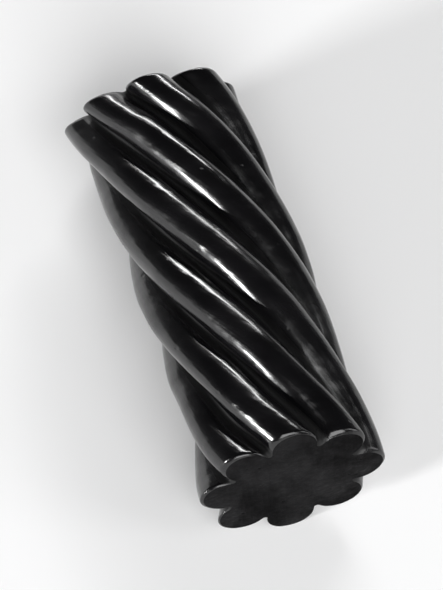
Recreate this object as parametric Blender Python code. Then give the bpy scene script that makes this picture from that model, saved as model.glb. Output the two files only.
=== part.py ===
"""Black licorice piece: a short length of solid, eight-lobed licorice rope that was twisted while
soft and chopped at both ends. It lies on its side along X, and the surface that it rests on is z = 0.
"""

import cmath
import math
from typing import NamedTuple

import bmesh
import bpy
from mathutils import Matrix, Vector

# Driving dimensions, in metres
PIECE_LENGTH = 0.042
ROPE_DIAMETER = 0.016
TURN_LENGTH = 0.081  # length of rope in which a strand goes once round

# The rope's section, as shares of its radius
LOBES = 8
LOBE_RADIUS = 0.26  # of each round lobe, whose crest touches the rope's own circle
GROOVE_RADIUS = 0.035  # of the small hollow where two lobes meet
OVAL = 0.02  # how much of its height the soft rope gave up to its width
UNEVEN_RADIUS = ((2, 0.010, 0.6), (3, 0.008, 2.0))  # waves round the section, their depth and phase
UNEVEN_ANGLE = (2, 0.015, 3.0)  # lobes that stand a little closer or wider apart, in radians

# The rope's run along X
SWELL = 0.010  # thick and thin stretches from the pulling, as a share of the radius
SWELL_LENGTH = 0.027
SWELL_PHASE = 0.8
BEND_RISE = 0.0007  # how far the middle stands to one side of the ends


class Cut(NamedTuple):
    """One chopped end: how far the soft rope gave way under the blade, and how the blade leaned."""

    pressed: float  # share of the height that the blade pressed down
    spread: float  # share of the width that went outwards instead
    reach: float  # length of rope that gave way
    lean_across: float  # slope of the cut face along Y
    lean_up: float  # slope of the cut face along Z


NEAR_CUT = Cut(pressed=0.04, spread=0.12, reach=0.012, lean_across=0.05, lean_up=-0.13)
FAR_CUT = Cut(pressed=0.04, spread=0.03, reach=0.006, lean_across=0.05, lean_up=0.05)
LEAN_REACH = 0.007  # length over which a leaning end turns back to square

# The flat spots that it rests on
FLAT_DEPTH = 0.0003

# Fineness of the faces
LOBE_FACES = 10
GROOVE_FACES = 2
RUN_FACES = 42

# A cutter reaches this far past what it cuts
CUTTER_REACH = 0.01

LICORICE_COLOUR = (0.006, 0.006, 0.007, 1.0)
LICORICE_ROUGHNESS = 0.28

RADIUS = ROPE_DIAMETER / 2
HALF_LENGTH = PIECE_LENGTH / 2
TWIST = math.tau * PIECE_LENGTH / TURN_LENGTH


def clear_scene():
    for obj in list(bpy.data.objects):
        bpy.data.objects.remove(obj, do_unlink=True)


def new_collection(name, colour_tag="NONE"):
    collection = bpy.data.collections.new(name)
    collection.color_tag = colour_tag
    bpy.context.scene.collection.children.link(collection)
    return collection


def licorice_material():
    material = bpy.data.materials.new("black_licorice")
    material.use_nodes = True
    shader = material.node_tree.nodes["Principled BSDF"]
    shader.inputs["Base Color"].default_value = LICORICE_COLOUR
    shader.inputs["Roughness"].default_value = LICORICE_ROUGHNESS
    shader.inputs["Metallic"].default_value = 0.0
    material.diffuse_color = LICORICE_COLOUR
    return material


def smooth_step(share):
    """0 to 1 with a level start and end, for a share that is held between them."""
    share = min(max(share, 0.0), 1.0)
    return share * share * (3.0 - 2.0 * share)


def arc(centre, radius, start, end, faces):
    """An arc's points in the plane, as complex numbers, without its last one."""
    for index in range(faces):
        yield centre + cmath.rect(radius, start + (end - start) * index / faces)


def lobe_and_groove():
    """The outline from one groove to the next, in shares of the rope's radius, round the first crest."""
    half_lobe = math.pi / LOBES
    lobe_centre = 1.0 - LOBE_RADIUS
    # The groove's arc touches the two lobes that it lies between.
    groove_out = math.sqrt((LOBE_RADIUS + GROOVE_RADIUS) ** 2 - (lobe_centre * math.sin(half_lobe)) ** 2)
    groove_centre = cmath.rect(lobe_centre * math.cos(half_lobe) + groove_out, half_lobe)
    meeting = cmath.phase(groove_centre - lobe_centre)
    yield from arc(lobe_centre, LOBE_RADIUS, -meeting, meeting, LOBE_FACES)
    yield from arc(
        groove_centre, GROOVE_RADIUS, math.pi + meeting, math.pi + 2 * half_lobe - meeting, GROOVE_FACES
    )


def section_points():
    """The section's outline in the YZ plane, with its lobes unevenly large and unevenly spaced."""
    waves, depth, phase = UNEVEN_ANGLE
    for lobe in range(LOBES):
        for point in lobe_and_groove():
            angle = cmath.phase(point) + lobe * math.tau / LOBES
            turned = angle + depth * math.sin(waves * angle + phase)
            uneven = sum(size * math.cos(count * angle + start) for count, size, start in UNEVEN_RADIUS)
            radius = RADIUS * abs(point) * (1.0 + uneven)
            yield Vector((0.0, radius * math.cos(turned), radius * math.sin(turned)))


def twisted_rope():
    """The section swept along X while it turns: a straight twisted rope with flat ends."""
    rope = bmesh.new()
    start = Vector((-HALF_LENGTH, 0.0, 0.0))
    outline = [rope.verts.new(point + start) for point in section_points()]
    face = rope.faces.new(outline)
    # The strands wind left-handed, so the section turns backwards about X as it moves forwards.
    bmesh.ops.rotate(rope, verts=outline, cent=start, matrix=Matrix.Rotation(TWIST / 2, 3, "X"))
    bmesh.ops.spin(
        rope,
        geom=[face, *face.edges, *outline],
        cent=start,
        axis=(1.0, 0.0, 0.0),
        dvec=(PIECE_LENGTH / RUN_FACES, 0.0, 0.0),
        angle=-TWIST,
        steps=RUN_FACES,
    )
    bmesh.ops.recalc_face_normals(rope, faces=rope.faces)
    return rope


def softened(point):
    """Where the soft rope's handling and the blade left a point of the straight rope."""
    along, across, up = point
    cut = NEAR_CUT if along > 0.0 else FAR_CUT
    from_end = HALF_LENGTH - abs(along)
    crushed = smooth_step(1.0 - from_end / cut.reach)
    swell = 1.0 + SWELL * math.sin(math.tau * along / SWELL_LENGTH + SWELL_PHASE)
    across *= swell * (1.0 + OVAL) * (1.0 + cut.spread * crushed)
    # The blade pressed the rope against the board, so its underside stayed where it was.
    height = (up * swell * (1.0 - OVAL) + RADIUS) * (1.0 - cut.pressed * crushed)
    leaning = smooth_step(1.0 - from_end / LEAN_REACH)
    lean = leaning * (cut.lean_across * across + cut.lean_up * (height - RADIUS))
    bend = BEND_RISE * (1.0 - (along / HALF_LENGTH) ** 2)
    return Vector((along + lean, across + bend, height))


def stand_on_floor(mesh):
    """Centres the mesh over the origin, with its lowest skin as far below z = 0 as the flats are deep."""
    low, high = (Vector(map(pick, zip(*(vert.co for vert in mesh.verts)))) for pick in (min, max))
    middle = (low + high) / 2
    for vert in mesh.verts:
        vert.co -= Vector((middle.x, middle.y, low.z + FLAT_DEPTH))


def floor_cutter(collection):
    """A slab whose top is the surface that the piece rests on."""
    mesh = bmesh.new()
    size = PIECE_LENGTH + 2 * CUTTER_REACH
    bmesh.ops.create_cube(mesh, size=1.0)
    bmesh.ops.scale(mesh, verts=mesh.verts, vec=(size, size, CUTTER_REACH))
    bmesh.ops.translate(mesh, verts=mesh.verts, vec=(0.0, 0.0, -CUTTER_REACH / 2))
    cutter = mesh_object("floor_cutter", mesh, collection)
    cutter.hide_render = True
    cutter.display_type = "WIRE"
    return cutter


def mesh_object(name, mesh, collection):
    data = bpy.data.meshes.new(name)
    mesh.to_mesh(data)
    mesh.free()
    obj = bpy.data.objects.new(name, data)
    collection.objects.link(obj)
    return obj


def build_licorice_piece():
    parts = new_collection("licorice")
    cutters = new_collection("cutters", "COLOR_01")
    rope = twisted_rope()
    for vert in rope.verts:
        vert.co = softened(vert.co)
    stand_on_floor(rope)
    piece = mesh_object("licorice_piece", rope, parts)
    piece.data.materials.append(licorice_material())
    piece.data.shade_smooth()
    piece.data.set_sharp_from_angle(angle=math.radians(35.0))
    flats = piece.modifiers.new("resting_flats", "BOOLEAN")
    flats.operation = "DIFFERENCE"
    flats.solver = "EXACT"
    flats.object = floor_cutter(cutters)
    return piece


clear_scene()
build_licorice_piece()
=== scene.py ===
"""The looks of a black licorice piece: a short chop of glossy, eight-lobed twisted rope.

The rope is one ball of points that a Geometry Nodes tree rolls out, twists, chops and sets down on
the floor. Its skin and its two cut faces each have their own finish.
"""

from __future__ import annotations

import logging
import math
from dataclasses import dataclass, field, fields
from enum import Enum

import bpy
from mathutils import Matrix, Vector

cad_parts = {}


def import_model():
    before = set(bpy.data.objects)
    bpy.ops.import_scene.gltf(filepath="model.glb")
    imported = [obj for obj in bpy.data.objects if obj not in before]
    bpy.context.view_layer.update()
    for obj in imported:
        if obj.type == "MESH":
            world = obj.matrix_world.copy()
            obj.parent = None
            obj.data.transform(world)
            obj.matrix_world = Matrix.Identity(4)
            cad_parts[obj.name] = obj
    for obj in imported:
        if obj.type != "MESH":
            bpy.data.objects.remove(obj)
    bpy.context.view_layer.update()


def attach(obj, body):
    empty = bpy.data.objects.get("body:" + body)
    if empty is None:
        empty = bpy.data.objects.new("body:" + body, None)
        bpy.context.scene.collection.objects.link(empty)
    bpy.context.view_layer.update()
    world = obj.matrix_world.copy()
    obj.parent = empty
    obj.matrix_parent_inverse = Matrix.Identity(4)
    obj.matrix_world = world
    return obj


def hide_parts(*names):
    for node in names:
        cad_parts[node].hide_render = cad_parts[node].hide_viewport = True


LOG = logging.getLogger("licorice")
NODE = "licorice_piece"
BODY = "root"

Colour = tuple[float, float, float]


@dataclass(frozen=True)
class Field:
    """A value that varies over a surface: a node's socket that is added up like a number."""

    tree: bpy.types.NodeTree
    socket: bpy.types.NodeSocket

    def maths(self, operation: str, *others: Field | float) -> Field:
        """Join this value to others with one Math node.

        Args:
            operation: the node's own name for the sum.
            others: the other values, in the node's order.

        Returns:
            The node's result.
        """
        node = self.tree.nodes.new("ShaderNodeMath")
        node.operation = operation
        for slot, value in zip(node.inputs, (self, *others)):
            wire(value, slot)
        return Field(self.tree, node.outputs[0])

    def __add__(self, other: Field | float) -> Field:
        """Sum."""
        return self.maths("ADD", other)

    def __sub__(self, other: Field | float) -> Field:
        """Difference."""
        return self.maths("SUBTRACT", other)

    def __rsub__(self, other: float) -> Field:
        """Difference from a plain number."""
        return (self * -1.0) + other

    def __mul__(self, other: Field | float) -> Field:
        """Product."""
        return self.maths("MULTIPLY", other)

    def __truediv__(self, other: Field | float) -> Field:
        """Quotient."""
        return self.maths("DIVIDE", other)

    def __rtruediv__(self, other: float) -> Field:
        """Quotient of a plain number by this value."""
        return self.maths("POWER", -1.0) * other

    def __abs__(self) -> Field:
        """Size without sign."""
        return self.maths("ABSOLUTE")

    __radd__ = __add__
    __rmul__ = __mul__

    def sine(self) -> Field:
        """Sine of an angle."""
        return self.maths("SINE")

    def cosine(self) -> Field:
        """Cosine of an angle."""
        return self.maths("COSINE")

    def square_root(self) -> Field:
        """Square root."""
        return self.maths("SQRT")

    def between(self, low: Field | float, high: Field | float, smooth: bool = False) -> Field:
        """Say how far this value has come from one bound to another, held between 0 and 1.

        Args:
            low: the value that gives 0.
            high: the value that gives 1.
            smooth: whether the share starts and ends level.

        Returns:
            The share.
        """
        node = self.tree.nodes.new("ShaderNodeMapRange")
        node.interpolation_type = "SMOOTHSTEP" if smooth else "LINEAR"
        for slot, value in zip(node.inputs, (self, low, high, 0.0, 1.0)):
            wire(value, slot)
        return Field(self.tree, node.outputs["Result"])

    def mixed(self, at_zero: Field | float, at_one: Field | float) -> Field:
        """Blend two values by this share: the first at 0, the second at 1."""
        return at_zero + self * (at_one - at_zero)


def wire(value: object, slot: bpy.types.NodeSocket) -> None:
    """Link a field to a socket, or write a plain value on it.

    Args:
        value: the field or the plain value, or None to leave the socket alone.
        slot: the socket.
    """
    if isinstance(value, Field):
        value.tree.links.new(value.socket, slot)
    elif value is not None:
        slot.default_value = value


def place(tree: bpy.types.NodeTree, kind: str, result: int | str = 0, **inputs: object) -> Field:
    """Add a node and fill in its sockets.

    Args:
        tree: the tree that takes the node.
        kind: the node's type.
        result: the output to hand back, by number or name.
        inputs: socket names in lower case with _ for a space, each with a field or a plain value. A
            name that no socket has is a setting of the node itself.

    Returns:
        The chosen output.
    """
    node = tree.nodes.new(kind)
    known = {slot.name.lower().replace(" ", "_") for slot in node.inputs}
    for name in inputs.keys() - known:
        setattr(node, name, inputs[name])
    # The settings decide which of several sockets of one name is in use.
    slots = {slot.name.lower().replace(" ", "_"): slot for slot in reversed(node.inputs) if slot.enabled}
    for name in inputs.keys() & known:
        wire(inputs[name], slots[name])
    return Field(tree, node.outputs[result])


def parts_of(vector: Field) -> tuple[Field, Field, Field]:
    """Split a vector into its three numbers."""
    node = place(vector.tree, "ShaderNodeSeparateXYZ", vector=vector).socket.node
    return tuple(Field(vector.tree, output) for output in node.outputs)


def vector_of(tree: bpy.types.NodeTree, x: object, y: object, z: object) -> Field:
    """Join three numbers into a vector."""
    return place(tree, "ShaderNodeCombineXYZ", x=x, y=y, z=z)


def noise(vector: Field, size: Field | float, detail: float = 2.0, seed: Field | float = 0.0) -> Field:
    """Spread soft noise through space.

    Args:
        vector: where in the noise each point lies.
        size: how large its bumps are, in metres.
        detail: how many finer layers lie on the first.
        seed: which of many like patterns to take.

    Returns:
        The noise, about -0.5 to 0.5.
    """
    value = place(
        vector.tree, "ShaderNodeTexNoise", noise_dimensions="4D",
        vector=vector, w=seed, scale=1.0 / size, detail=detail,
    )
    return value - 0.5


def bump(height: Field, depth: float, under: Field | None = None) -> Field:
    """Raise a surface by a height that runs from 0 to 1 over a depth in metres."""
    return place(height.tree, "ShaderNodeBump", strength=1.0, distance=depth, height=height, normal=under)


def direction(azimuth: float, elevation: float) -> Vector:
    """Point from the piece to a place round it.

    Args:
        azimuth: where the place is round the piece, in degrees from +X.
        elevation: how high it stands, in degrees.

    Returns:
        The direction, one metre long.
    """
    turn, rise = math.radians(azimuth), math.radians(elevation)
    return Vector((math.cos(rise) * math.cos(turn), math.cos(rise) * math.sin(turn), math.sin(rise)))


class Effect:
    """A pattern that every finish shares, kept as one shader node group with named inputs."""

    NAME: str
    USUAL: dict[str, float]

    @classmethod
    def pattern(cls, where: Field, given: dict[str, Field]) -> dict[str, Field]:
        """Work out the outputs, each from 0 to 1. Every kind of effect has its own."""
        raise NotImplementedError

    @classmethod
    def group(cls) -> bpy.types.NodeTree:
        """Build the group, or find the one that is built.

        Returns:
            The group. It takes a place and the numbers that USUAL lists, and puts out the pattern.
        """
        if cls.NAME in bpy.data.node_groups:
            return bpy.data.node_groups[cls.NAME]
        tree = bpy.data.node_groups.new(cls.NAME, "ShaderNodeTree")
        tree.interface.new_socket("place", in_out="INPUT", socket_type="NodeSocketVector")
        for name, value in cls.USUAL.items():
            socket = tree.interface.new_socket(name, in_out="INPUT", socket_type="NodeSocketFloat")
            socket.default_value = value
        sockets = tree.nodes.new("NodeGroupInput").outputs
        given = {name: Field(tree, sockets[name]) for name in cls.USUAL}
        results = cls.pattern(Field(tree, sockets["place"]), given)
        for name in results:
            tree.interface.new_socket(name, in_out="OUTPUT", socket_type="NodeSocketFloat")
        out = tree.nodes.new("NodeGroupOutput")
        for name, value in results.items():
            wire(value, out.inputs[name])
        return tree

    @classmethod
    def placed(cls, where: Field, **numbers: float) -> dict[str, Field]:
        """Place the group in a material.

        Args:
            where: where in the pattern each point of the surface lies.
            numbers: the group's other inputs by name.

        Returns:
            Its outputs by name.
        """
        node = where.tree.nodes.new("ShaderNodeGroup")
        node.node_tree = cls.group()
        for name, value in {"place": where, **numbers}.items():
            wire(value, node.inputs[name])
        return {output.name: Field(where.tree, output) for output in node.outputs}


class Patches(Effect):
    """Uneven gloss and depth of colour: a soft mask."""

    NAME = "licorice_patches"
    USUAL = {"size": 0.004, "contrast": 0.25, "seed": 0.0}

    @classmethod
    def pattern(cls, where: Field, given: dict[str, Field]) -> dict[str, Field]:
        """Cut soft noise down to a mask of patches."""
        cloud = noise(where, given["size"], detail=4.0, seed=given["seed"])
        return {"mask": cloud.between(given["contrast"] * -1.0, given["contrast"], smooth=True)}


class Pores(Effect):
    """Pinprick pits, as their depth, and a fine grain, as its height."""

    NAME = "licorice_pores"
    USUAL = {"spacing": 0.0012, "share": 0.4, "grain_size": 0.0003}
    SMALLEST = 0.08  # radius of the pits, as shares of their spacing
    LARGEST = 0.24
    BOTTOM = 0.3  # how much of a pit is its flat bottom

    @classmethod
    def pattern(cls, where: Field, given: dict[str, Field]) -> dict[str, Field]:
        """Sink a round pit in some of the cells of a scattered pattern, each of its own width.

        Args:
            where: where in the pattern each point lies.
            given: the pits' spacing, the share of cells that have one, and the grain's size.

        Returns:
            The pits and the grain.
        """
        cells = where.tree.nodes.new("ShaderNodeTexVoronoi")
        wire(where, cells.inputs["Vector"])
        wire(1.0 / given["spacing"], cells.inputs["Scale"])
        chosen, width, _ = parts_of(Field(where.tree, cells.outputs["Color"]))
        radius = width.mixed(cls.SMALLEST, cls.LARGEST)
        distance = Field(where.tree, cells.outputs["Distance"])
        hollow = 1.0 - distance.between(radius * cls.BOTTOM, radius, smooth=True)
        present = chosen.maths("LESS_THAN", given["share"])
        return {"pits": hollow * present, "grain": noise(where, given["grain_size"], detail=3.0) + 0.5}


@dataclass(frozen=True)
class Finish:
    """What every finish of the licorice shares: its colours, its gloss and the way to start a material."""

    name: str
    deep: Colour
    pale: Colour
    smoothest: float
    roughest: float

    def start(self) -> tuple[bpy.types.Material, bpy.types.ShaderNodeBsdfPrincipled]:
        """Make the material.

        Returns:
            The material and its shader.
        """
        material = bpy.data.materials.new(self.name)
        material.use_nodes = True
        return material, material.node_tree.nodes["Principled BSDF"]

    def colour(self, share: Field) -> Field:
        """Blend from the deep to the pale colour by a share."""
        ends = {"a": (*self.deep, 1.0), "b": (*self.pale, 1.0)}
        return place(share.tree, "ShaderNodeMix", result="Result", data_type="RGBA", factor=share, **ends)


@dataclass(frozen=True)
class GlossySkin(Finish):
    """The rope's own skin: near black, oiled, with fine lines along the strands from the nozzle."""

    name: str = "glossy_skin"
    deep: Colour = (0.0016, 0.0015, 0.0018)
    pale: Colour = (0.0046, 0.0043, 0.0050)
    smoothest: float = 0.15
    roughest: float = 0.29
    groove_roughness: float = 0.7
    ior: float = 1.48
    thinnest_coat: float = 0.25
    thickest_coat: float = 0.55
    coat_roughness: float = 0.08
    coat_ior: float = 1.45
    patch_size: float = 0.005
    patch_contrast: float = 0.16
    line_width: float = 0.00028
    line_length: float = 0.012
    line_depth: float = 0.000024
    wide_line_width: float = 0.00112
    pit_spacing: float = 0.0013
    pit_share: float = 0.3
    pit_depth: float = 0.000030
    grain_size: float = 0.00016
    grain_depth: float = 0.000008
    dent_size: float = 0.0016
    dent_depth: float = 0.00009

    WIDE_LINE_SEED = 7.0
    DENT_SEED = 11.0
    PATCH_SEED = 3.0
    PALE_WEIGHTS = (0.6, 0.4)  # how much the patches and the fine lines count in the colour
    DULL_WEIGHTS = (0.55, 0.30, 0.15)  # how much patches, wide lines and fine lines count in the gloss
    DULL_RANGE = (0.15, 0.85)  # the sum of them that gives the smoothest skin, and the roughest

    def material(self) -> bpy.types.Material:
        """Build the material.

        Returns:
            The finished skin.
        """
        material, shader = self.start()
        tree = material.node_tree
        straight = place(tree, "ShaderNodeAttribute", result="Vector", attribute_name=LicoricePiece.PLACE)
        groove = place(tree, "ShaderNodeAttribute", result="Fac", attribute_name=LicoricePiece.GROOVE)
        along, across, up = parts_of(straight)
        stretched = vector_of(tree, along * (self.line_width / self.line_length), across, up)
        lines = noise(stretched, self.line_width) + 0.5
        wide_lines = noise(stretched, self.wide_line_width, detail=1.0, seed=self.WIDE_LINE_SEED) + 0.5
        dents = noise(straight, self.dent_size, detail=1.0, seed=self.DENT_SEED) + 0.5
        patches = Patches.placed(
            straight, size=self.patch_size, contrast=self.patch_contrast, seed=self.PATCH_SEED
        )["mask"]
        pores = Pores.placed(
            straight, spacing=self.pit_spacing, share=self.pit_share, grain_size=self.grain_size
        )

        by_patch, by_line = self.PALE_WEIGHTS
        # Painted shade: in the grooves the colour is taken down to the deep end, where the strands meet. The
        # same mask also dulls the gloss and thins the coat there.
        paleness_with_groove_shade = (patches * by_patch + lines * by_line) * (1.0 - groove)
        wire(self.colour(paleness_with_groove_shade), shader.inputs["Base Color"])
        by_patch, by_wide_line, by_line = self.DULL_WEIGHTS
        dullness = patches * by_patch + wide_lines * by_wide_line + lines * by_line
        roughness = dullness.between(*self.DULL_RANGE).mixed(self.smoothest, self.roughest)
        wire(groove.mixed(roughness, self.groove_roughness), shader.inputs["Roughness"])
        coat = patches.mixed(self.thickest_coat, self.thinnest_coat) * (1.0 - groove)
        wire(coat, shader.inputs["Coat Weight"])
        relief = bump(dents, self.dent_depth)
        relief = bump(lines, self.line_depth, relief)
        relief = bump(pores["grain"], self.grain_depth, relief)
        relief = bump(1.0 - pores["pits"], self.pit_depth, relief)
        wire(relief, shader.inputs["Normal"])
        wire(self.ior, shader.inputs["IOR"])
        wire(self.coat_roughness, shader.inputs["Coat Roughness"])
        wire(self.coat_ior, shader.inputs["Coat IOR"])
        return material


@dataclass(frozen=True)
class CutFace(Finish):
    """The chopped dough: dull and a little paler, with the blade's drag lines and small voids."""

    name: str = "cut_face"
    deep: Colour = (0.0029, 0.0028, 0.0030)
    pale: Colour = (0.0101, 0.0098, 0.0104)
    smoothest: float = 0.40
    roughest: float = 0.74
    edge_roughness: float = 0.30
    edge_start: float = 0.97
    ior: float = 1.45
    specular_level: float = 0.045
    patch_size: float = 0.0035
    patch_contrast: float = 0.2
    drag_width: float = 0.00035
    drag_length: float = 0.009
    drag_depth: float = 0.00009
    void_spacing: float = 0.0010
    void_share: float = 0.45
    void_depth: float = 0.00010
    grain_size: float = 0.00022
    crumb_size: float = 0.0006
    crumb_depth: float = 0.00012

    DRAG_SEED = 5.0
    CRUMB_SEED = 2.0
    PATCH_SEED = 9.0
    TONE_WEIGHTS = (0.4, 0.3, 0.3)  # how much the patches, the drag lines and the crumb count in the tone
    TONE_RANGE = (0.3, 0.7)  # the sum of them that gives the deepest tone, and the palest
    VOID_SHADE = 0.8  # how much of the tone a void takes away: painted shade in the voids

    def material(self) -> bpy.types.Material:
        """Build the material.

        Returns:
            The finished cut face.
        """
        material, shader = self.start()
        tree = material.node_tree
        where = place(tree, "ShaderNodeTexCoord", result="Object")
        along, across, up = parts_of(where)
        dragged = vector_of(tree, along, across, up * (self.drag_width / self.drag_length))
        drag = noise(dragged, self.drag_width, detail=3.0, seed=self.DRAG_SEED) + 0.5
        crumb = noise(where, self.crumb_size, detail=5.0, seed=self.CRUMB_SEED) + 0.5
        patches = Patches.placed(
            where, size=self.patch_size, contrast=self.patch_contrast, seed=self.PATCH_SEED
        )["mask"]
        pores = Pores.placed(
            where, spacing=self.void_spacing, share=self.void_share, grain_size=self.grain_size
        )
        out_share = place(tree, "ShaderNodeAttribute", result="Fac", attribute_name=LicoricePiece.OUT_SHARE)
        skin = out_share.between(self.edge_start, 1.0, smooth=True)

        by_patch, by_drag, by_crumb = self.TONE_WEIGHTS
        tone = (patches * by_patch + drag * by_drag + crumb * by_crumb).between(*self.TONE_RANGE)
        # Painted shade: each void is darker in colour, on top of the bump that sinks it.
        tone = tone * (1.0 - skin) * (1.0 - pores["pits"] * self.VOID_SHADE)
        wire(self.colour(tone), shader.inputs["Base Color"])
        roughness = skin.mixed(tone.mixed(self.roughest, self.smoothest), self.edge_roughness)
        wire(roughness, shader.inputs["Roughness"])
        relief = bump(drag, self.drag_depth)
        relief = bump(crumb, self.crumb_depth, relief)
        relief = bump(1.0 - pores["pits"], self.void_depth, relief)
        wire(relief, shader.inputs["Normal"])
        wire(self.ior, shader.inputs["IOR"])
        wire(self.specular_level, shader.inputs["Specular IOR Level"])
        return material


@dataclass(frozen=True)
class Cut:
    """One chopped end: how the soft rope gave way under the blade, and how the blade leaned."""

    pressed: float
    spread: float
    reach: float
    lean_across: float
    lean_up: float


class Side(Enum):
    """The two ends, by the name that starts their inputs in the tree."""

    NEAR = "near"
    FAR = "far"


@dataclass
class LicoricePiece:
    """The twisted rope, chopped at both ends, with the sizes that its solid has."""

    length: float = 0.042
    diameter: float = 0.016
    turn_length: float = 0.081
    lobes: float = 8.0
    lobe_radius: float = 0.26
    groove_radius: float = 0.035
    groove_share: float = 1.0 / 6.0
    groove_shade: float = 0.16
    oval: float = 0.02
    swell: float = 0.010
    swell_length: float = 0.027
    swell_phase: float = 0.8
    bend_rise: float = 0.0007
    lean_reach: float = 0.007
    flat_depth: float = 0.0003
    near: Cut = Cut(pressed=0.04, spread=0.12, reach=0.012, lean_across=0.05, lean_up=-0.13)
    far: Cut = Cut(pressed=0.04, spread=0.03, reach=0.006, lean_across=0.05, lean_up=0.05)
    rim_radius: float = 0.00042
    rim_radius_below: float = 0.00018
    dome_height: float = 0.00022
    dent_size: float = 0.0065
    dent_depth: float = 0.00030
    strand_wave_size: float = 0.0026
    strand_wave_depth: float = 0.00022
    drag_size: float = 0.0016
    drag_depth: float = 0.00010
    seed: float = 4.0
    columns: int = 192
    cap_rows: int = 30
    rim_rows: int = 7
    side_rows: int = 330
    skin: GlossySkin = field(default_factory=GlossySkin)
    cut: CutFace = field(default_factory=CutFace)

    PLACE = "straight_place"
    GROOVE = "in_groove"
    OUT_SHARE = "out_share"
    CAP = "on_cap"
    ROLLED = ("along", "across", "up")
    UNEVEN_RADIUS = ((2.0, 0.010, 0.6), (3.0, 0.008, 2.0))  # waves round the section, depth and phase
    UNEVEN_ANGLE = (2.0, 0.015, 3.0)
    DRAWN_EDGE = (-0.6, 0.8)  # height on a face, from -1 to 1, over which its edge grows rounder
    STRAND_STRETCH = 0.22  # how much slower the waves in the skin change along a strand
    DRAG_STRETCH = (0.2, 0.12)  # how much slower the blade's marks change into the dough and down it
    FACE_EDGE = 0.9  # share of the way out at which the blade's marks start to fade
    WAVE_SEED_STEP = 10.0  # from the dents' seed to the waves'
    DRAG_SEED_STEP = 20.0  # from the dents' seed to the blade's marks'
    WHOLLY_ON_CAP = 0.99  # faces below this share run over the rim's edge

    def sizes(self) -> dict[str, float]:
        """List the tree's inputs.

        Returns:
            Each size by name, with the two cuts' values written out.
        """
        plain = {item.name: getattr(self, item.name) for item in fields(self)}
        plain = {name: value for name, value in plain.items() if isinstance(value, float)}
        for side in Side:
            chop = getattr(self, side.value)
            plain |= {f"{side.value}_{item.name}": getattr(chop, item.name) for item in fields(chop)}
        return plain

    def rows(self) -> int:
        """Count the ball's rows from pole to pole."""
        return 2 * (self.cap_rows + self.rim_rows) + self.side_rows

    def section(self, column: Field, get: dict[str, Field]) -> tuple[Field, Field, Field]:
        """Follow the lobed outline of the rope's section.

        Args:
            column: the way round, from -pi to pi, in even steps along each lobe's arc.
            get: the tree's inputs by name.

        Returns:
            The outline's distance from the centre, the angle with the lobes' uneven spacing, and how
            far into a groove it is.
        """
        half_lobe = math.pi / get["lobes"]
        lobe, groove = get["lobe_radius"], get["groove_radius"]
        centre = 1.0 - lobe
        # The groove's arc touches the two lobes that it lies between.
        beside = centre * half_lobe.sine()
        groove_out = ((lobe + groove) * (lobe + groove) - beside * beside).square_root()
        groove_at = centre * half_lobe.cosine() + groove_out
        groove_x, groove_y = groove_at * half_lobe.cosine(), groove_at * half_lobe.sine()
        meeting = groove_y.maths("ARCTAN2", groove_x - centre)

        number = (column / (half_lobe * 2.0)).maths("ROUND")
        share = column / half_lobe - number * 2.0
        from_crest = abs(share)
        lobe_end = 1.0 - get["groove_share"]
        on_lobe = from_crest.between(0.0, lobe_end) * meeting
        on_groove = math.pi + from_crest.between(lobe_end, 1.0).mixed(meeting, half_lobe)
        in_groove = from_crest.maths("GREATER_THAN", lobe_end)
        outwards = in_groove.mixed(centre + lobe * on_lobe.cosine(), groove_x + groove * on_groove.cosine())
        across = in_groove.mixed(lobe * on_lobe.sine(), groove_y + groove * on_groove.sine())
        across = across * share.maths("SIGN")
        angle = number * half_lobe * 2.0 + across.maths("ARCTAN2", outwards)
        reach = (outwards * outwards + across * across).square_root()
        uneven = 1.0
        for waves, depth, phase in self.UNEVEN_RADIUS:
            uneven = (angle * waves + phase).cosine() * depth + uneven
        waves, depth, phase = self.UNEVEN_ANGLE
        spaced = angle + (angle * waves + phase).sine() * depth
        # How far into a groove a point is: the skin paints shade into its colour there, and dulls its gloss.
        hollow = from_crest.between(lobe_end - get["groove_shade"], lobe_end, smooth=True)
        return reach * uneven * get["diameter"] * 0.5, spaced, hollow

    def rolled_out(self, tree: bpy.types.NodeTree, get: dict[str, Field]) -> dict[str, Field]:
        """Turn a ball's rows and columns into the straight rope's rings, from one cut face to the other.

        Args:
            tree: the tree.
            get: its inputs by name.

        Returns:
            What the rope's points keep, by attribute name: the point itself along, across and up, its
            unturned place, its share of the way out over a cut face, how far into a groove it is, and
            which cut face it is on, 1 for the near one, -1 for the far one and 0 for neither.
        """
        ball_x, ball_y, ball_z = parts_of(place(tree, "GeometryNodeInputPosition"))
        ball_out = (ball_x * ball_x + ball_y * ball_y).square_root()
        row = ball_out.maths("ARCTAN2", ball_z) * (self.rows() / math.pi)
        from_pole = row.maths("MINIMUM", float(self.rows()) - row)
        end = ball_z.maths("SIGN")
        rim_start, rim_end = float(self.cap_rows), float(self.cap_rows + self.rim_rows)
        on_cap = from_pole.between(0.0, rim_start)
        on_rim = from_pole.between(rim_start, rim_end) * (math.pi / 2)
        on_side = from_pole.between(rim_end, self.rows() / 2)

        outline, spaced, hollow = self.section(ball_y.maths("ARCTAN2", ball_x), get)
        half = get["length"] * 0.5
        # The blade drew the skin down over the upper edge and left the lower edge crisp.
        turn_at_end = end * half * (math.tau / get["turn_length"])
        drawn = (spaced - turn_at_end).sine().between(*self.DRAWN_EDGE, smooth=True)
        rim = drawn.mixed(get["rim_radius_below"], get["rim_radius"])
        out = (outline - rim) * on_cap + rim * on_rim.sine()
        from_end = rim * (1.0 - on_rim.cosine()) + (half - rim) * on_side
        along = end * (half - from_end)
        # The strands wind left-handed, so the section turns backwards as it moves forwards.
        turned = spaced - along * (math.tau / get["turn_length"])
        return {
            "along": along,
            "across": out * turned.cosine(),
            "up": out * turned.sine(),
            self.PLACE: vector_of(tree, along, out * spaced.cosine(), out * spaced.sine()),
            self.OUT_SHARE: out / outline,
            self.GROOVE: hollow,
            self.CAP: from_pole.maths("LESS_THAN", self.cap_rows + 0.5) * end,
        }

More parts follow.
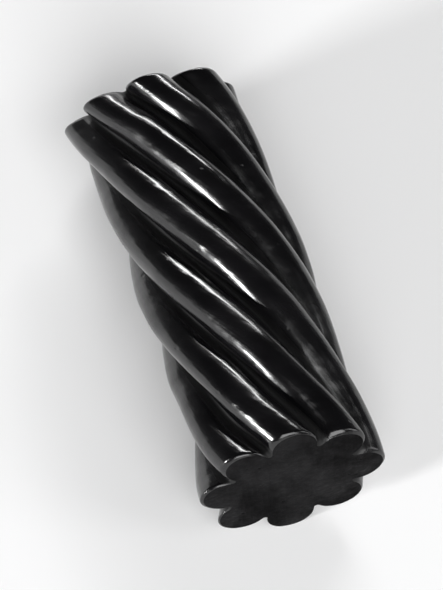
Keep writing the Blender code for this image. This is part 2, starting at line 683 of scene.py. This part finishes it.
    def softened(self, straight: tuple[Field, ...], get: dict[str, Field]) -> list[Field]:
        """Give a point of the straight rope the place where handling and the blade left it.

        Args:
            straight: the point along, across and up.
            get: the tree's inputs by name.

        Returns:
            The point along, across and above the board.
        """
        along, across, up = straight
        half = get["length"] * 0.5
        radius = get["diameter"] * 0.5
        is_near = along.maths("GREATER_THAN", 0.0)
        chop = {}
        for item in fields(Cut):
            far, near = (get[f"{side.value}_{item.name}"] for side in (Side.FAR, Side.NEAR))
            chop[item.name] = is_near.mixed(far, near)
        from_end = half - abs(along)
        crushed = (1.0 - from_end / chop["reach"]).between(0.0, 1.0, smooth=True)
        swell = 1.0 + get["swell"] * (along * math.tau / get["swell_length"] + get["swell_phase"]).sine()
        across = across * swell * (1.0 + get["oval"]) * (1.0 + chop["spread"] * crushed)
        height = (up * swell * (1.0 - get["oval"]) + radius) * (1.0 - chop["pressed"] * crushed)
        leaning = (1.0 - from_end / get["lean_reach"]).between(0.0, 1.0, smooth=True)
        lean = leaning * (chop["lean_across"] * across + chop["lean_up"] * (height - radius))
        bend = get["bend_rise"] * (1.0 - (along / half) * (along / half))
        return [along + lean, across + bend, height]

    def uneven(self, tree: bpy.types.NodeTree, body: Field, get: dict[str, Field]) -> Field:
        """Push the skin in and out as a soft, pulled dough is, and mark the cut faces with the blade.

        Args:
            tree: the tree.
            body: the rope so far.
            get: the tree's inputs by name.

        Returns:
            The rope with its soft unevenness.
        """
        where = place(tree, "GeometryNodeInputPosition")
        along, across, up = parts_of(self.read(tree, self.PLACE, "FLOAT_VECTOR"))
        cap = self.read(tree, self.CAP)
        dents = noise(where, get["dent_size"], detail=1.0, seed=get["seed"]) * get["dent_depth"]
        stretched = vector_of(tree, along * self.STRAND_STRETCH, across, up)
        waves = noise(stretched, get["strand_wave_size"], detail=1.0, seed=get["seed"] + self.WAVE_SEED_STEP)
        skin_push = (dents + waves * get["strand_wave_depth"]) * (1.0 - abs(cap))
        normal = place(tree, "GeometryNodeInputNormal")
        offset = place(tree, "ShaderNodeVectorMath", operation="SCALE", vector=normal, scale=skin_push)
        body = place(tree, "GeometryNodeSetPosition", geometry=body, offset=offset)

        place_x, place_y, place_z = parts_of(where)
        into, down = self.DRAG_STRETCH
        dragged = vector_of(tree, place_x * into, place_y, place_z * down)
        drag = noise(dragged, get["drag_size"], seed=get["seed"] + self.DRAG_SEED_STEP) * get["drag_depth"]
        inside = 1.0 - self.read(tree, self.OUT_SHARE).between(self.FACE_EDGE, 1.0, smooth=True)
        radius = get["diameter"] * 0.5
        dome = get["dome_height"] * (1.0 - (across * across + up * up) / (radius * radius))
        face_push = cap * (dome + (drag + dents) * inside)
        offset = vector_of(tree, face_push, 0.0, 0.0)
        return place(tree, "GeometryNodeSetPosition", geometry=body, offset=offset)

    def set_down(self, tree: bpy.types.NodeTree, body: Field, get: dict[str, Field]) -> Field:
        """Centre the rope over the origin and press its lowest crests flat on the floor.

        Args:
            tree: the tree.
            body: the rope so far.
            get: the tree's inputs by name.

        Returns:
            The rope in its place.
        """
        box = tree.nodes.new("GeometryNodeBoundBox")
        wire(body, box.inputs["Geometry"])
        low, high = (parts_of(Field(tree, box.outputs[name])) for name in ("Min", "Max"))
        place_x, place_y, place_z = parts_of(place(tree, "GeometryNodeInputPosition"))
        middle_x, middle_y = (low[0] + high[0]) * 0.5, (low[1] + high[1]) * 0.5
        height = (place_z - low[2] - get["flat_depth"]).maths("MAXIMUM", 0.0)
        centred = vector_of(tree, place_x - middle_x, place_y - middle_y, height)
        return place(tree, "GeometryNodeSetPosition", geometry=body, position=centred)

    def dressed(self, tree: bpy.types.NodeTree, body: Field) -> Field:
        """Shade the rope smoothly and give its skin and its cut faces their finishes.

        Args:
            tree: the tree.
            body: the finished rope.

        Returns:
            The rope with its materials.
        """
        body = place(tree, "GeometryNodeSetShadeSmooth", geometry=body, shade_smooth=True)
        body = place(tree, "GeometryNodeRealizeInstances", geometry=body)
        body = place(tree, "GeometryNodeSetMaterial", geometry=body, material=self.skin.material())
        on_face = abs(self.read(tree, self.CAP)).maths("GREATER_THAN", self.WHOLLY_ON_CAP)
        face = self.cut.material()
        return place(tree, "GeometryNodeSetMaterial", geometry=body, selection=on_face, material=face)

    def tree(self) -> bpy.types.NodeTree:
        """Build the Geometry Nodes tree.

        Returns:
            The tree, with one named input for each size.
        """
        tree = bpy.data.node_groups.new("twisted_rope", "GeometryNodeTree")
        for name, value in self.sizes().items():
            socket = tree.interface.new_socket(name, in_out="INPUT", socket_type="NodeSocketFloat")
            socket.default_value = value
        tree.interface.new_socket("Geometry", in_out="OUTPUT", socket_type="NodeSocketGeometry")
        given = tree.nodes.new("NodeGroupInput").outputs
        get = {name: Field(tree, given[name]) for name in self.sizes()}

        rolled = self.rolled_out(tree, get)
        body = place(tree, "GeometryNodeMeshUVSphere", segments=self.columns, rings=self.rows(), radius=1.0)
        for name, value in rolled.items():
            kind = "FLOAT_VECTOR" if name == self.PLACE else "FLOAT"
            body = place(
                tree, "GeometryNodeStoreNamedAttribute", data_type=kind, domain="POINT",
                geometry=body, name=name, value=value,
            )
        straight = tuple(self.read(tree, name) for name in self.ROLLED)
        soft = vector_of(tree, *self.softened(straight, get))
        body = place(tree, "GeometryNodeSetPosition", geometry=body, position=soft)
        body = self.set_down(tree, self.uneven(tree, body, get), get)
        for name in self.ROLLED:
            body = place(tree, "GeometryNodeRemoveAttribute", geometry=body, name=name)
        wire(self.dressed(tree, body), tree.nodes.new("NodeGroupOutput").inputs["Geometry"])
        return tree

    @staticmethod
    def read(tree: bpy.types.NodeTree, name: str, kind: str = "FLOAT") -> Field:
        """Read a stored attribute back.

        Args:
            tree: the tree.
            name: the attribute's name.
            kind: its type.

        Returns:
            Its value at each point.
        """
        node = tree.nodes.new("GeometryNodeInputNamedAttribute")
        node.data_type = kind
        wire(name, node.inputs["Name"])
        return Field(tree, next(output for output in node.outputs if output.enabled))

    def build(self) -> bpy.types.Object:
        """Run the tree once and keep its result as a plain mesh.

        Returns:
            The piece, riding on the solid's body in the solid's place.
        """
        carrier = bpy.data.objects.new("rope_carrier", bpy.data.meshes.new("rope_carrier"))
        bpy.context.scene.collection.objects.link(carrier)
        modifier = carrier.modifiers.new("twisted_rope", "NODES")
        modifier.node_group = self.tree()
        for item in modifier.node_group.interface.items_tree:
            if item.in_out == "INPUT":
                modifier[item.identifier] = self.sizes()[item.name]
        graph = bpy.context.evaluated_depsgraph_get()
        mesh = bpy.data.meshes.new_from_object(carrier.evaluated_get(graph), depsgraph=graph)
        carrier.modifiers.remove(modifier)
        bpy.data.objects.remove(carrier, do_unlink=True)
        mesh.name = "licorice_rope"
        piece = bpy.data.objects.new("licorice_rope", mesh)
        bpy.context.scene.collection.objects.link(piece)
        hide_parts(NODE)
        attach(piece, BODY)
        return piece


@dataclass(frozen=True)
class Softbox:
    """A soft light that faces the piece."""

    name: str
    azimuth: float
    elevation: float
    size: tuple[float, float]
    power: float
    roll: float = 0.0
    distance: float = 3.0

    def hang(self) -> bpy.types.Object:
        """Hang the light.

        Returns:
            The light.
        """
        light = bpy.data.lights.new(self.name, "AREA")
        light.shape = "RECTANGLE"
        light.size, light.size_y = self.size
        light.energy = self.power
        lamp = bpy.data.objects.new(self.name, light)
        way = direction(self.azimuth, self.elevation)
        lamp.location = way * self.distance
        lamp.rotation_euler = way.to_track_quat("Z", "Y").to_euler()
        lamp.rotation_euler.rotate_axis("Z", math.radians(self.roll))
        bpy.context.scene.collection.objects.link(lamp)
        return lamp


@dataclass
class Studio:
    """A pale floor, soft lights and the camera, which looks down on the piece as the photograph does."""

    floor_size: float = 12.0
    floor_colour: Colour = (0.92, 0.92, 0.922)
    floor_roughness: float = 0.85
    floor_specular: float = 0.2
    low_wall: Colour = (0.15, 0.15, 0.152)
    ceiling: Colour = (0.03, 0.03, 0.031)
    ceiling_start: float = 0.55
    backdrop: Colour = (0.80, 0.80, 0.81)
    camera_azimuth: float = -18.8
    camera_elevation: float = 62.0
    camera_distance: float = 0.62
    lens: float = 400.0
    aim_height: float = 0.007

    # The back and right lights are narrow, for the thin highlights along the strands, and the left one
    # is small, for the short highlight beside each of them.
    LIGHTS = (
        Softbox("back_softbox", azimuth=156.0, elevation=21.5, size=(1.9, 0.34), power=50.0, roll=-18.0),
        Softbox("left_softbox", azimuth=-79.0, elevation=13.0, size=(0.46, 0.42), power=88.0, roll=-2.0),
        Softbox("right_softbox", azimuth=60.0, elevation=26.0, size=(1.0, 2.0), power=18.0),
        Softbox("front_softbox", azimuth=-5.0, elevation=38.0, size=(2.6, 2.6), power=92.0),
    )

    def floor(self) -> bpy.types.Object:
        """Lay the floor.

        Returns:
            The floor.
        """
        bpy.ops.mesh.primitive_plane_add(size=self.floor_size, location=(0.0, 0.0, 0.0))
        floor = bpy.context.object
        floor.name = "studio_floor"
        material = bpy.data.materials.new("studio_floor")
        material.use_nodes = True
        shader = material.node_tree.nodes["Principled BSDF"]
        wire((*self.floor_colour, 1.0), shader.inputs["Base Color"])
        wire(self.floor_roughness, shader.inputs["Roughness"])
        wire(self.floor_specular, shader.inputs["Specular IOR Level"])
        floor.data.materials.append(material)
        return floor

    def walls(self) -> bpy.types.World:
        """Make the room that the piece reflects: pale low walls and a dim ceiling.

        Returns:
            The world, which the camera itself sees as a plain pale backdrop.
        """
        world = bpy.data.worlds.new("studio_walls")
        world.use_nodes = True
        tree = world.node_tree
        _, _, up = parts_of(place(tree, "ShaderNodeTexCoord", result="Generated"))
        room = {"a": (*self.low_wall, 1.0), "b": (*self.ceiling, 1.0)}
        height = up.between(0.0, self.ceiling_start, smooth=True)
        around = place(tree, "ShaderNodeMix", result="Result", data_type="RGBA", factor=height, **room)
        seen = place(tree, "ShaderNodeLightPath", result="Is Camera Ray")
        views = {"a": around, "b": (*self.backdrop, 1.0)}
        colour = place(tree, "ShaderNodeMix", result="Result", data_type="RGBA", factor=seen, **views)
        wire(colour, tree.nodes["Background"].inputs["Color"])
        bpy.context.scene.world = world
        return world

    def camera(self) -> bpy.types.Object:
        """Set up the camera.

        Returns:
            The camera.
        """
        data = bpy.data.cameras.new("camera")
        data.lens = self.lens
        camera = bpy.data.objects.new("camera", data)
        way = direction(self.camera_azimuth, self.camera_elevation)
        camera.location = Vector((0.0, 0.0, self.aim_height)) + way * self.camera_distance
        camera.rotation_euler = way.to_track_quat("Z", "Y").to_euler()
        bpy.context.scene.collection.objects.link(camera)
        bpy.context.scene.camera = camera
        return camera

    def build(self) -> None:
        """Lay the floor, hang the lights and set up the camera."""
        self.floor()
        self.walls()
        for light in self.LIGHTS:
            light.hang()
        self.camera()
        bpy.context.scene.view_settings.view_transform = "Standard"


def main() -> None:
    """Load the frame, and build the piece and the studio."""
    logging.basicConfig(level=logging.INFO, format="%(message)s")
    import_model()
    piece = LicoricePiece().build()
    LOG.info("licorice piece: %d faces", len(piece.data.polygons))
    studio = Studio()
    studio.build()
    LOG.info("studio: floor, walls, camera and %d lights", len(studio.LIGHTS))


if __name__ == "__main__":
    main()
